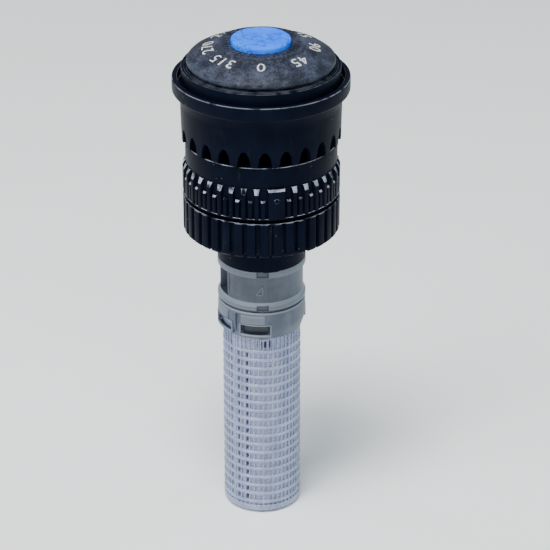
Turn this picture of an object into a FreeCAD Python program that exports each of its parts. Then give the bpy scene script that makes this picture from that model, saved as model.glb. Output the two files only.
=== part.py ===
import FreeCAD, Part
import math
import os

# Hand-adjusted multi-stream rotary nozzle with its filter screen, in millimetres.
# +Z is up. The origin is on the axis, where the rim of the riser meets the gasket.
# Angles are measured from the front (-Y) and grow towards +X.

V = FreeCAD.Vector
Z = V(0, 0, 1)
O = V(0, 0, 0)

# ---- clearances ----
run = 0.08            # radial clearance of pieces that turn or slide on each other
snug = 0.04           # radial clearance of pieces that stay put
face_gap = 0.10       # axial clearance between faces that pass each other
clip_slack = 0.02     # play of a clip, a disk or a spring end on the shaft
ring_gap = 0.60       # open joint seen between the two knurled rings
rings_mid_z = -0.26   # middle of that open joint
weld = 0.10           # how far parts of one moulding run into each other
over = 1.00           # how far a cutting tool runs past what it cuts

# ---- shaft, post and spring ----
shaft_r = 1.20
post_wall = 1.10
post_head_h = 0.80
post_head_stand = 0.80
post_stand = 0.25     # post above its push nut
bush_wall = 0.40
bush_h = 2.60
pop_up = 6.50         # travel of the deflector out of the cup
spring_wire_r = 0.28
spring_turns = 8
spring_steps = 12      # sections in one turn
spring_sides = 6      # sides of the wire
spring_offset = 0.22   # coil's middle outside the post
spring_closed = 5.50  # height when the deflector is fully up
retainer_h = 0.80
retainer_stand = 0.90 # retainer outside the coil's middle
retainer_lip_w = 0.40
retainer_lip_h = 0.50
clip_h = 0.40
clip_depth = 0.28     # how deep a clip sits in its groove
clip_stand = 0.90
clip_mouth_w = 1.20
shaft_end = 0.60      # shaft beyond its clips
flat_depth = 0.25     # flats that drive the brake disk

# ---- riser end ----
nipple_bore_r = 5.35
nipple_wall = 1.20
riser_room = 0.90     # radial room for the riser's wall at its rim
skirt_wall = 1.85
gasket_h = 0.80
seat_shoulder = 0.20  # step on the nipple, from the seat up, that centres the gasket
web_h = 1.60
skirt_h = 6.10        # how far the threaded skirt hangs below the seat
nipple_drop = 10.70   # how far the nipple hangs below the seat
arm_w = 1.40
arms = 3
arm_root = 0.40       # arms start inside the hub's wall
groove_top = -0.10    # O-ring groove in the skirt
groove_w = 1.00
port_lip = 0.65       # the web's lip inside the nipple bore, which the throttle closes on

# ---- filter ----
neck_ring_h = 1.00
neck_h = 4.60
neck_step = 0.39      # how far the neck is set in from its rings
neck_chamfer_h = 0.43
low_ring_h = 0.75
groove_h = 0.45
collar_h = 4.50
collar_taper_h = 1.70
collar_taper = 0.55
collar_wall = 0.62
collar_inset = 0.05   # collar inside the nipple's outline
spigot_wall = 0.90
spigot_h = 4.00
notch_depth = 0.30
notch_half_angle = 8.0
neck_slot_angles = (-70.0, -53.0)
window_h = 1.50
window_half_angle = 19.0
window_angles = (-8.9, -62.0, 171.1, 118.0)
window_drop = 2.10    # top of the windows below the collar's top
tongue_gap = 0.15
tongue_side_angle = 1.0
tongue_stand = 0.35   # how far the basket's tongues stand out into the windows
basket_wall = 0.65
basket_length = 30.20  # below the collar
basket_floor = 1.00
basket_rim_chamfer = 0.30

# ---- throttle ----
throttle_travel = 1.80
throttle_h = 1.40
washer_h = 0.40
throttle_flow = 0.50  # radial room for water round the throttle nut
carrier_wall = 1.30
carrier_flange_h = 0.80
carrier_lift = 0.30   # carrier above the web
lug_w = 1.60
lugs = 3
lug_root = 0.50
lug_inset = 0.20      # lugs inside the carrier and below the nut's top
washer_inset = 0.50
throttle_lap = 0.45   # throttle nut over the web's lip
seal_r = 0.38         # section radius of the inner O-rings
seal_pinch = 0.05     # clearance left at each side of an O-ring

# ---- radius ring and arc ring ----
tube_wall = 0.75
root_wall = 0.75
tooth_h = 0.55
teeth = 38
radius_ring_h = 5.49
radius_foot_chamfer = 0.45
radius_core_lift = 0.30  # ring's core above the ribs' feet
rib_root_share = 0.72    # widths as parts of the tooth spacing
rib_tip_share = 0.36
arc_knurl_h = 5.06
knurl_drop = 0.30     # tall teeth below the knurl's top
tall_root_share = 0.66
tall_tip_share = 0.40
short_root_share = 0.60
short_tip_share = 0.44
tooth_phase = -3.5
arc_top_chamfer_h = 1.00
arc_top_chamfer = 0.40
short_tooth_drop = 2.10
band_h = 2.94
band_stand = 0.12
marker_angles = (4.0, 18.0)
arc_flange_h = 0.72
arc_hub_lift = 0.30   # arc ring's hub above the throttle nut

# ---- arc valve ----
sleeve_bore_r = 3.30
sleeve_wall = 1.20
sleeve_h = 1.50
valve_pitch = 1.60    # axial run of the helical edge in one turn
valve_face_gap = 0.06
valve_steps = 36      # sections of the helical edge
valve_step_angle = 4.0
hub_wall = 1.47
port_slot_w = 0.75    # slot in the cup's floor that the water leaves by
spline_h = 0.30
splines = 6
key_w = 1.20
key_root = 0.40
least_arc = 45.0      # arc left open at rest
arc_hub_wall = 0.87
slot_angle = 270.0

# ---- cup ----
cup_joint = 0.26      # open joint between the band and the cup
cup_wall = 0.90
cup_stand = 0.05      # the cup's foot outside the knurl
cup_draft = 0.13
cup_h = 9.60          # foot to flange top
cup_skirt_h = 2.40    # foot to the underside of the floor
cup_floor_h = 1.10
cup_hub_stand = 0.40   # hub above the floor
flange_h = 2.20
flange_cone_h = 1.50
flange_stand = 1.16
flange_lip = 0.10     # edge of the flange above its cone
flange_root = 0.95    # cone's end inside the flange's edge
flange_edge = 0.25
boss_wall = 0.80
boss_lift = 0.20
flange_land = 0.80
mouth_depth = 1.40
arches = 24
arch_w = 1.60
arch_h = 2.34
arch_depth = 3.00
arch_phase = 2.6
push_nut_h = 0.40
push_nut_w = 1.10

# ---- deflector and dome ----
mouth_gap = 0.55
rim_stand = 0.20      # the rim's underside above the mouth's ledge
cone_clear = 0.55     # deflector skirt inside the cup wall
hub_stand = 0.60      # deflector hub above the post
deflector_hub_r = 3.20
skirt_cyl_h = 0.60    # straight part of the deflector's skirt
skirt_cone_h = 1.00
skirt_cone_w = 1.20
vane_end = 0.20       # vanes end below the rim
vane_share = 0.60     # part of a vane's depth under the hub's edge
vane_tool = 4.00
vanes = 24
vane_depth = 0.80
vane_w = 0.90
brake_r = 7.10
cavity_wall = 0.30
cavity_floor = 1.20   # deflector's floor above its lip seal
brake_pad_h = 0.70
brake_pad_bore_r = 2.60
plate_room = 1.30     # friction plate round the shaft
brake_disk_h = 0.80
friction_plate_h = 0.60
lip_seal_h = 1.00
lip_seal_wall = 1.10
dome_room = 1.18      # dome's underside above the shaft
dome_inset = 0.75      # dome skirt inside the rim
dome_edge_h = 1.30
dome_crown_h = 3.35
dome_wall = 1.40
dome_step = 0.05
dome_foot_chamfer = 0.35
dome_side_top = 0.55  # top of the straight side below the dome's edge
dome_curve = ((0.20, -0.20), (0.65, 0.15), (1.85, 0.95), (3.20, 1.50))  # inset and rise at the edge
crown_edge = 0.25
hollow_side_h = 0.70
crown_ring_r = 6.15
cap_r = 4.35
cap_stand = 0.72
cap_h = 1.68
cap_pin_r = 1.50
cap_pin_h = 0.90
cap_edge = 0.12
cap_pin_gap = 0.05

# ---- radii that follow, from the axis outwards ----
post_bore_r = shaft_r + run
post_r = post_bore_r + post_wall
hub_bore_r = post_r + snug
nipple_r = nipple_bore_r + nipple_wall
thread_minor_r = nipple_r + riser_room
skirt_r = thread_minor_r + skirt_wall
radius_bore_r = skirt_r + run
radius_tube_r = radius_bore_r + tube_wall
arc_bore_r = radius_tube_r + run
root_r = arc_bore_r + root_wall
tip_r = root_r + tooth_h
band_r = root_r + band_stand
port_r = nipple_bore_r - port_lip
throttle_r = port_r + throttle_lap
carrier_bore_r = throttle_r + throttle_flow
carrier_r = carrier_bore_r + carrier_wall
sleeve_r = sleeve_bore_r + sleeve_wall
spline_r = sleeve_r + spline_h
arc_hub_bore_r = sleeve_r + run
arc_hub_r = arc_hub_bore_r + arc_hub_wall
seal_bore_r = arc_hub_r + 2 * seal_r + 2 * seal_pinch
seal_mid_r = arc_hub_r + seal_r + seal_pinch
cup_hub_r = hub_bore_r + hub_wall
slot_r = cup_hub_r + port_slot_w
cup_foot_r = tip_r + cup_stand
cup_top_r = cup_foot_r + cup_draft
cup_bore_r = cup_foot_r - cup_wall
flange_r = cup_top_r + flange_stand
mouth_r = flange_r - flange_land
rim_r = mouth_r - mouth_gap
skirt_cone_r = cup_bore_r - cone_clear
cavity_r = brake_r + cavity_wall
dome_r = rim_r - dome_inset
neck_ring_r = nipple_r
neck_r = neck_ring_r - neck_step
collar_r = nipple_r - collar_inset
collar_bore_r = collar_r - collar_wall
basket_r = collar_bore_r - snug
basket_bore_r = basket_r - basket_wall
low_spigot_r = basket_bore_r - snug
spigot_r = nipple_bore_r - snug
spring_mid_r = post_r + spring_offset
seat_r = nipple_r + seat_shoulder
bush_r = shaft_r + run + bush_wall
post_head_r = post_r + post_head_stand
retainer_r = spring_mid_r + retainer_stand
clip_bore_r = shaft_r - clip_depth
clip_r = shaft_r + clip_stand
shaft_bore_r = shaft_r + clip_slack
lip_seal_r = post_bore_r + lip_seal_wall

# ---- heights that follow; 0 is the seat ----
web_z = gasket_h
web_top = web_z + web_h
hub_foot = web_z - 2 * post_head_h
nipple_foot = -nipple_drop
neck_foot = nipple_foot - neck_ring_h - neck_h
low_ring_foot = neck_foot - low_ring_h
collar_top = low_ring_foot - groove_h
collar_foot = collar_top - collar_h
basket_foot = collar_foot - basket_length
basket_top = collar_top - face_gap
window_top = collar_top - window_drop
window_foot = window_top - window_h
low_spigot_foot = collar_top - spigot_h
upper_ring_foot = nipple_foot - neck_ring_h

radius_top = rings_mid_z - ring_gap / 2
radius_foot = radius_top - radius_ring_h
arc_foot = radius_top + ring_gap
radius_core_foot = radius_foot + radius_core_lift
knurl_top = arc_foot + arc_knurl_h
teeth_top = knurl_top - knurl_drop
band_top = knurl_top + band_h
cup_foot = band_top + cup_joint
floor_z = cup_foot + cup_skirt_h
floor_top = floor_z + cup_floor_h
hub_top = floor_top + cup_hub_stand
flange_top = cup_foot + cup_h
flange_foot = flange_top - flange_h
mouth_z = flange_top - mouth_depth
post_top = hub_top + push_nut_h + post_stand

washer_z = web_top + throttle_travel + face_gap
throttle_z = washer_z + washer_h
throttle_top = throttle_z + throttle_h
arc_flange_z = band_top - arc_flange_h
carrier_top = arc_flange_z - face_gap
arc_hub_foot = throttle_top + arc_hub_lift
arc_hub_top = floor_z - face_gap
carrier_foot = web_top + carrier_lift
valve_high = floor_z - face_gap
valve_low = valve_high - valve_pitch

rim_z = mouth_z + rim_stand
skirt_top = rim_z - skirt_cyl_h
deflector_foot = post_top + hub_stand
cavity_z = deflector_foot + lip_seal_h + cavity_floor
disk_z = cavity_z + brake_pad_h + face_gap
plate_z = disk_z + brake_disk_h + face_gap
top_clip_z = disk_z + brake_disk_h + clip_slack
shaft_top = top_clip_z + clip_h + shaft_end
rim_top = shaft_top + dome_room
dome_z = rim_top + dome_step
dome_edge_top = dome_z + dome_edge_h
crown_z = rim_top + dome_crown_h
cap_top = crown_z + cap_stand
cap_foot = cap_top - cap_h
cap_pin_foot = cap_foot - cap_pin_h

spring_top = hub_foot
spring_h = pop_up + spring_closed
spring_foot = spring_top - spring_h
retainer_z = spring_foot - retainer_h
bottom_clip_z = retainer_z - clip_h - clip_slack
shaft_foot = bottom_clip_z - shaft_end


def turned(*points):
    """A solid turned about the axis from a closed outline of (radius, height) points."""
    outline = [V(r, 0, z) for r, z in points]
    face = Part.Face(Part.makePolygon(outline + outline[:1]))
    return face.revolve(O, Z, 360)


def tube(bore, outer, low, high):
    return turned((bore, low), (outer, low), (outer, high), (bore, high))


def disc(radius, low, high):
    return Part.makeCylinder(radius, high - low, V(0, 0, low))


def at_angle(shape, degrees):
    """A copy turned from the front by an angle that grows towards +X."""
    copy = shape.copy()
    copy.rotate(O, Z, degrees)
    return copy


def around(shape, count, phase=0.0):
    return [at_angle(shape, phase + 360.0 * i / count) for i in range(count)]


def block(width, near, far, low, high):
    """A radial bar at the front, from radius near to radius far."""
    return Part.makeBox(width, far - near, high - low, V(-width / 2, -far, low))


def sector(bore, outer, low, high, start, end):
    """Part of a tube between two angles."""
    face = Part.Face(Part.makePolygon([V(bore, 0, low), V(outer, 0, low), V(outer, 0, high),
                                       V(bore, 0, high), V(bore, 0, low)]))
    face.rotate(O, Z, start - 90)
    return face.revolve(O, Z, end - start)


def polar(radius, degrees, height):
    a = math.radians(degrees)
    return V(radius * math.sin(a), -radius * math.cos(a), height)


def toothed(inner, outer, low, high, count, root_share, tip_share, phase=0.0, skip=None):
    """A prism with drafted teeth; the shares are parts of the tooth spacing."""
    pitch = 360.0 / count
    points = []
    for i in range(count):
        middle = phase + i * pitch
        if skip and skip[0] < middle < skip[1]:
            points.append(polar(inner, middle, low))
            continue
        for radius, share in ((inner, -root_share), (outer, -tip_share), (outer, tip_share),
                              (inner, root_share)):
            points.append(polar(radius, middle + share * pitch / 2, low))
    face = Part.Face(Part.makePolygon(points + points[:1]))
    return face.extrude(V(0, 0, high - low))


def o_ring(mid_r, section_r, height):
    return Part.makeTorus(mid_r, section_r, V(0, 0, height))


def helical_ring(bore, outer, flat_z, ramp_z):
    """A ring whose far face climbs one pitch in a turn and drops back in one step."""
    rows = []
    for i in range(valve_steps + 1):
        share = i / valve_steps
        angle = valve_step_angle / 2 + share * (360.0 - valve_step_angle)
        z = ramp_z + valve_pitch * share
        rows.append(Part.makePolygon([polar(bore, angle, flat_z), polar(outer, angle, flat_z),
                                      polar(outer, angle, z), polar(bore, angle, z),
                                      polar(bore, angle, flat_z)]))
    return Part.makeLoft(rows, True, True)


def e_clip(low):
    """An open retaining clip."""
    mouth = block(clip_mouth_w, 0, clip_r + over, low - over, low + clip_h + over)
    return tube(clip_bore_r, clip_r, low, low + clip_h).cut(mouth)


def joined(first, *others):
    shape = first.multiFuse([s for s in others]) if others else first
    return shape.removeSplitter()


def save(name, shape):
    solids = shape.Solids
    whole = solids[0] if len(solids) == 1 else Part.makeCompound(solids)
    if not whole.isValid():
        raise ValueError(name + " is not a valid solid")
    whole.exportStep("parts/" + name + ".step")
    box = whole.BoundBox
    print("%-18s %d solid  r %.2f  z %.2f..%.2f" % (name, len(solids), box.XMax, box.ZMin, box.ZMax))


# ---- fixed body ----
def filter_basket():
    cup = turned((0, basket_foot), (basket_r - basket_rim_chamfer, basket_foot),
                 (basket_r, basket_foot + basket_rim_chamfer), (basket_r, basket_top),
                 (basket_bore_r, basket_top), (basket_bore_r, basket_foot + basket_floor),
                 (0, basket_foot + basket_floor))
    half = window_half_angle - tongue_side_angle
    tongue = sector(basket_r - basket_wall / 2, basket_r + tongue_stand, window_foot + tongue_gap,
                    window_top - tongue_gap, -half, half)
    return joined(cup, *[at_angle(tongue, a) for a in window_angles])


def filter_collar():
    ring = turned((collar_bore_r, collar_foot), (collar_r - collar_taper, collar_foot),
                  (collar_r, collar_foot + collar_taper_h), (collar_r, collar_top),
                  (collar_bore_r, collar_top))
    window = sector(collar_bore_r - over, collar_r + over, window_foot, window_top,
                    -window_half_angle, window_half_angle)
    return ring.cut([at_angle(window, a) for a in window_angles])


def filter_neck():
    spigot_bore = low_spigot_r - spigot_wall
    body = turned((spigot_bore, low_spigot_foot), (low_spigot_r, low_spigot_foot),
                  (low_spigot_r, collar_top), (neck_r, collar_top), (neck_r, low_ring_foot),
                  (neck_ring_r, low_ring_foot), (neck_ring_r, neck_foot),
                  (neck_r, neck_foot + neck_chamfer_h), (neck_r, upper_ring_foot),
                  (neck_ring_r, upper_ring_foot), (neck_ring_r, nipple_foot),
                  (spigot_r, nipple_foot), (spigot_r, nipple_foot + spigot_h),
                  (spigot_bore, nipple_foot + spigot_h))
    notches = [sector(neck_ring_r - notch_depth, neck_ring_r + over, low, high,
                      -notch_half_angle, notch_half_angle)
               for low, high in ((upper_ring_foot, nipple_foot), (low_ring_foot, neck_foot))]
    slot = sector(neck_r - notch_depth, neck_r + over, neck_foot + neck_chamfer_h, upper_ring_foot,
                  *neck_slot_angles)
    return body.cut(notches + [slot, at_angle(slot, 180)])


def nozzle_base():
    nipple = turned((nipple_bore_r, nipple_foot), (nipple_r, nipple_foot), (nipple_r, 0), (seat_r, 0),
                    (seat_r, web_top), (nipple_bore_r, web_top))
    web = tube(port_r, skirt_r, web_z, web_top)
    skirt = tube(thread_minor_r, skirt_r, -skirt_h, web_top)
    hub = tube(hub_bore_r, post_head_r, hub_foot + post_head_h, web_top)
    arm = block(arm_w, post_r + arm_root, nipple_bore_r + weld, web_z, web_top)
    groove = tube(skirt_r - 2 * seal_r - seal_pinch, skirt_r + over, groove_top - groove_w, groove_top)
    return joined(nipple, web, skirt, hub, *around(arm, arms)).cut(groove)


def riser_gasket():
    return tube(seat_r + snug, thread_minor_r - snug, 0, gasket_h)


def centre_post():
    head_top = hub_foot + post_head_h
    post = turned((post_bore_r, hub_foot), (post_head_r, hub_foot), (post_head_r, head_top),
                  (post_r, head_top), (post_r, post_top), (post_bore_r, post_top))
    seats = [tube(post_bore_r - weld, bush_r + snug, low, low + bush_h)
             for low in (hub_foot, post_top - bush_h)]
    return post.cut(seats)


def bush(low):
    return tube(post_bore_r, bush_r, low, low + bush_h)


def cup():
    shell = turned((cup_bore_r, cup_foot), (cup_foot_r, cup_foot),
                   (cup_top_r, flange_foot - flange_cone_h), (flange_r - flange_root, flange_foot),
                   (flange_r, flange_foot + flange_lip), (flange_r, flange_top - flange_edge),
                   (flange_r - flange_edge, flange_top), (mouth_r, flange_top), (mouth_r, mouth_z),
                   (cup_bore_r, mouth_z))
    arch_top = cup_foot + arch_h - arch_w / 2
    legs = block(arch_w, cup_foot_r + over - arch_depth, cup_foot_r + over, cup_foot - over, arch_top)
    crown = Part.makeCylinder(arch_w / 2, arch_depth, V(0, -cup_foot_r - over, arch_top), V(0, 1, 0))
    shell = shell.cut(around(legs.fuse(crown), arches, arch_phase))
    floor = tube(slot_r, cup_bore_r + weld, floor_z, floor_top)
    boss = tube(seal_bore_r, seal_bore_r + boss_wall, cup_foot + boss_lift, floor_z + weld)
    hub = tube(hub_bore_r, cup_hub_r, valve_high, hub_top)
    ramp = helical_ring(sleeve_bore_r, cup_hub_r, valve_high + weld / 2, valve_low)
    bridge = sector(cup_hub_r - weld, slot_r + weld, floor_z, floor_top, slot_angle / 2,
                    360 - slot_angle / 2)
    return joined(shell, floor, boss, hub, ramp, bridge)


def cup_o_ring():
    return o_ring(seal_mid_r, seal_r, floor_z - seal_r - seal_pinch)


def base_o_ring():
    return o_ring(skirt_r - seal_r, seal_r, groove_top - groove_w / 2)


def push_nut():
    return tube(post_r, post_r + push_nut_w, hub_top, hub_top + push_nut_h)


# ---- radius control ----
def radius_ring():
    body = tube(radius_bore_r, radius_tube_r, radius_core_foot, carrier_top)
    core = tube(radius_bore_r, root_r, radius_core_foot, radius_top)
    ribs = toothed(root_r - weld, tip_r, radius_foot, radius_top, teeth, rib_root_share, rib_tip_share)
    bore = disc(radius_bore_r, radius_foot - over, radius_top + over)
    inner = radius_bore_r - over
    foot_r = tip_r - radius_foot_chamfer
    chamfer = turned((inner, radius_foot - over), (foot_r - over, radius_foot - over),
                     (tip_r + over, radius_foot + radius_foot_chamfer + over),
                     (tip_r + over, radius_top), (inner, radius_top))
    return joined(core.fuse(ribs.cut(bore)).common(chamfer), body)


def throttle_carrier():
    flange_z = carrier_top - carrier_flange_h
    seal_z = carrier_top - 2 * seal_r - 2 * seal_pinch
    shell = turned((carrier_bore_r, carrier_foot), (carrier_r, carrier_foot), (carrier_r, flange_z),
                   (radius_bore_r - snug, flange_z), (radius_bore_r - snug, carrier_top),
                   (seal_bore_r, carrier_top), (seal_bore_r, seal_z), (carrier_bore_r, seal_z))
    slot = block(lug_w + 2 * run, 0, carrier_r + over, web_top, throttle_top + face_gap)
    return shell.cut(around(slot, lugs))


def arc_o_ring():
    return o_ring(seal_mid_r, seal_r, carrier_top - seal_r - seal_pinch)


def throttle_nut():
    nut = tube(post_r + run, throttle_r, throttle_z, throttle_top)
    lug = block(lug_w, throttle_r - lug_root, carrier_r - lug_inset, throttle_z, throttle_top - lug_inset)
    return joined(nut, *around(lug, lugs))


def throttle_washer():
    return tube(post_r + washer_inset, throttle_r, washer_z, throttle_z)


# ---- arc control ----
def arc_ring():
    inner = root_r - weld
    tall = toothed(inner, tip_r, arc_foot, teeth_top, teeth, tall_root_share, tall_tip_share,
                   tooth_phase, marker_angles)
    short = toothed(inner, tip_r, arc_foot, knurl_top - short_tooth_drop, teeth, short_root_share,
                    short_tip_share, tooth_phase + 180.0 / teeth)
    envelope = turned((0, arc_foot), (tip_r, arc_foot), (tip_r, teeth_top - arc_top_chamfer_h),
                      (tip_r - arc_top_chamfer, teeth_top), (0, teeth_top))
    marker = sector(inner, tip_r, arc_foot, teeth_top, *marker_angles)
    core = turned((arc_bore_r, arc_foot), (root_r, arc_foot), (root_r, knurl_top), (band_r, knurl_top),
                  (band_r, band_top), (arc_hub_bore_r, band_top), (arc_hub_bore_r, arc_hub_foot),
                  (arc_hub_r, arc_hub_foot), (arc_hub_r, arc_flange_z), (arc_bore_r, arc_flange_z))
    hub = tube(arc_hub_bore_r, arc_hub_r, arc_hub_foot, arc_hub_top)
    knurl = tall.fuse([short, marker]).common(envelope).cut(disc(arc_bore_r, arc_foot - over, arc_flange_z))
    key = block(key_w + 2 * run, 0, spline_r + run, arc_hub_foot - over, arc_hub_top + over)
    return joined(core, hub, knurl).cut(around(key, splines))


def valve_sleeve():
    low = valve_low - valve_face_gap - valve_pitch * least_arc / 360
    ramp = at_angle(helical_ring(sleeve_bore_r, sleeve_r, low - sleeve_h, low), -least_arc)
    key = block(key_w, sleeve_r - key_root, spline_r, low - sleeve_h, low - weld)
    return joined(ramp, *around(key, splines))


# ---- stem ----
def drive_flats(depth, low, high):
    """The two side cuts that leave flats on the shaft."""
    width = 2 * (shaft_r + over)
    flat = Part.makeBox(width, width, high - low, V(-width / 2, shaft_r - depth, low))
    return [flat, at_angle(flat, 180)]


def drive_shaft():
    rod = disc(shaft_r, shaft_foot, shaft_top)
    grooves = [tube(clip_bore_r - clip_slack, shaft_r + over, z - clip_slack, z + clip_h + clip_slack)
               for z in (bottom_clip_z, top_clip_z)]
    flats = drive_flats(flat_depth, disk_z - face_gap, disk_z + brake_disk_h + face_gap)
    return rod.cut(grooves + flats)


def brake_disk():
    low = disk_z - over
    high = disk_z + brake_disk_h + over
    bore = disc(shaft_bore_r, low, high).cut(drive_flats(flat_depth - clip_slack, low, high))
    return disc(brake_r, disk_z, disk_z + brake_disk_h).cut(bore)


def spring_retainer():
    lip_r = retainer_r - retainer_lip_w
    lip_top = spring_foot + retainer_lip_h
    return turned((shaft_bore_r, retainer_z), (retainer_r, retainer_z), (retainer_r, lip_top),
                  (lip_r, lip_top), (lip_r, spring_foot), (shaft_bore_r, spring_foot))


def retraction_spring():
    """A coil of wire with flat sides, lofted through one section at each step."""
    climb = spring_h - 2 * (spring_wire_r + clip_slack)
    steps = spring_steps * spring_turns
    sides = [2 * math.pi * k / spring_sides for k in range(spring_sides)]
    rows = []
    for i in range(steps + 1):
        height = spring_foot + spring_wire_r + clip_slack + climb * i / steps
        corners = [polar(spring_mid_r + spring_wire_r * math.cos(a), 360.0 * i / spring_steps,
                         height + spring_wire_r * math.sin(a)) for a in sides]
        rows.append(Part.makePolygon(corners + corners[:1]))
    return Part.makeLoft(rows, True, True)


# ---- deflector ----
def deflector():
    body = turned((post_bore_r, deflector_foot), (deflector_hub_r, deflector_foot),
                  (skirt_cone_r - skirt_cone_w, skirt_top - skirt_cone_h), (skirt_cone_r, skirt_top),
                  (skirt_cone_r, rim_z), (rim_r, rim_z), (rim_r, rim_top),
                  (cavity_r, rim_top), (cavity_r, cavity_z), (post_bore_r, cavity_z))
    seat = disc(lip_seal_r + snug, deflector_foot - over, deflector_foot + lip_seal_h)
    rise = skirt_top - deflector_foot
    run_out = skirt_cone_r - deflector_hub_r
    reach = math.hypot(rise, run_out) + over
    vane = Part.makeBox(vane_w, reach, vane_tool, V(-vane_w / 2, -reach, -vane_tool))
    vane.rotate(O, V(1, 0, 0), -math.degrees(math.atan2(rise, run_out)))
    vane.translate(V(0, -deflector_hub_r, deflector_foot + vane_depth * vane_share))
    keep = disc(skirt_cone_r, deflector_foot - over, rim_z - vane_end)
    return body.cut([seat] + [v.common(keep) for v in around(vane, vanes)])


def lip_seal():
    return tube(shaft_r + run / 2, lip_seal_r, deflector_foot, deflector_foot + lip_seal_h)


def brake_pad():
    return tube(brake_pad_bore_r, brake_r, cavity_z, cavity_z + brake_pad_h)


def friction_plate():
    return tube(shaft_r + plate_room, cavity_r, plate_z, plate_z + friction_plate_h)


def dome_cover():
    curve = [(dome_r - inset, dome_edge_top + rise) for inset, rise in dome_curve]
    shell = turned((0, rim_top), (dome_r - dome_foot_chamfer, rim_top),
                   (dome_r, dome_z + dome_foot_chamfer), (dome_r, dome_edge_top - dome_side_top), *curve,
                   (crown_ring_r + crown_edge, crown_z - crown_edge), (crown_ring_r, crown_z),
                   (cap_r + snug, crown_z), (cap_r + snug, cap_foot), (cap_pin_r + snug, cap_foot),
                   (cap_pin_r + snug, cap_pin_foot), (0, cap_pin_foot))
    pillar_r = cap_pin_r + dome_wall
    hollow = turned((pillar_r, rim_top - over), (cavity_r, rim_top - over),
                    (cavity_r, rim_top + hollow_side_h), (crown_ring_r, cap_foot - dome_wall),
                    (pillar_r, cap_foot - dome_wall))
    return shell.cut(hollow)


def id_cap():
    pin_foot = cap_pin_foot + cap_pin_gap
    return turned((0, pin_foot), (cap_pin_r, pin_foot), (cap_pin_r, cap_foot), (cap_r, cap_foot),
                  (cap_r, cap_top - cap_edge), (cap_r - cap_edge, cap_top), (0, cap_top))


os.makedirs("parts", exist_ok=True)

for piece in (filter_basket, filter_collar, filter_neck, nozzle_base, riser_gasket, base_o_ring, centre_post,
              push_nut, cup, cup_o_ring, radius_ring, throttle_carrier, arc_o_ring, throttle_nut,
              throttle_washer, arc_ring, valve_sleeve, drive_shaft, brake_disk, spring_retainer,
              retraction_spring, deflector, lip_seal, brake_pad, friction_plate, dome_cover, id_cap):
    save(piece.__name__, piece())
save("lower_bush", bush(hub_foot))
save("upper_bush", bush(post_top - bush_h))
save("top_clip", e_clip(top_clip_z))
save("bottom_clip", e_clip(bottom_clip_z))
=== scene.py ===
import math
import bmesh
import bpy
from mathutils import Matrix, Vector


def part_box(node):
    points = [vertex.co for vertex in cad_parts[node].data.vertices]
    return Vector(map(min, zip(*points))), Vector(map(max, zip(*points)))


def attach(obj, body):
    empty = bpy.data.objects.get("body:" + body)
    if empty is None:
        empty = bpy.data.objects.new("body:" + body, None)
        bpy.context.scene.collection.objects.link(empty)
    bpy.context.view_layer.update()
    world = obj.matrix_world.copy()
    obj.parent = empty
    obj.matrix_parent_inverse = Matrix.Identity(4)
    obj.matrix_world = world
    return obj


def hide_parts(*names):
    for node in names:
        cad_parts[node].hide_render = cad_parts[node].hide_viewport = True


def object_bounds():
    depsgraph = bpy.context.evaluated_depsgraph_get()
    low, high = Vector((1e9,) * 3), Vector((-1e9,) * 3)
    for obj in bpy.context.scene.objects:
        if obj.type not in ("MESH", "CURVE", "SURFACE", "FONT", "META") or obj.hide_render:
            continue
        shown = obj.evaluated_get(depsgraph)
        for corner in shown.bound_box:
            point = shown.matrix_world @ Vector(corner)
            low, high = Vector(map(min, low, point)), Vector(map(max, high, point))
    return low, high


# A hand-adjusted rotary nozzle with its filter screen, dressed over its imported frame.
# Outlines are in millimetres, angles in degrees from the front (-Y), growing towards +X.

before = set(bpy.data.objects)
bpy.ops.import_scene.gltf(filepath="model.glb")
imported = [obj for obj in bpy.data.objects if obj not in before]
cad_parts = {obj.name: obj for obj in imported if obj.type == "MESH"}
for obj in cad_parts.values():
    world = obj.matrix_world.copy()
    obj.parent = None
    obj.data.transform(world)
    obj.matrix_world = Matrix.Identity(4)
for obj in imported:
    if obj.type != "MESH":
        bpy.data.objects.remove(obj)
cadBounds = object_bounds()
mm = 0.001


# node trees

class Wire:                                    # a socket that maths can be written with
    def __init__(self, builder, socket):
        self.builder = builder
        self.socket = socket

    def maths(self, operation, first, second):
        return self.builder.add("ShaderNodeMath", {"operation": operation}, {0: first, 1: second})

    def __add__(self, other):
        return self.maths("ADD", self, other)

    def __radd__(self, other):
        return self.maths("ADD", other, self)

    def __sub__(self, other):
        return self.maths("SUBTRACT", self, other)

    def __rsub__(self, other):
        return self.maths("SUBTRACT", other, self)

    def __mul__(self, other):
        return self.maths("MULTIPLY", self, other)

    def __rmul__(self, other):
        return self.maths("MULTIPLY", other, self)

    def __truediv__(self, other):
        return self.maths("DIVIDE", self, other)

    def above(self, level):
        return self.maths("GREATER_THAN", self, level)

    def kept(self):                            # held between 0 and 1
        return self.builder.add("ShaderNodeClamp", {}, {"Value": self})

    def out(self, name):
        return Wire(self.builder, self.socket.node.outputs[name])


class Builder:                                 # adds nodes to a shader or a geometry tree
    def __init__(self, tree):
        self.tree = tree

    def add(self, kind, settings, feeds):
        node = self.tree.nodes.new(kind)
        for name, value in settings.items():
            setattr(node, name, value)
        for name, value in feeds.items():
            if isinstance(value, Wire):
                self.tree.links.new(value.socket, node.inputs[name])
            else:
                node.inputs[name].default_value = value
        if not node.outputs:
            return node
        return Wire(self, next((s for s in node.outputs if s.enabled), None))


def grey(level):
    return (level, level, level, 1.0)


def scaled(colour, share):
    return tuple(c * share for c in colour[:3]) + (1,)


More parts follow.
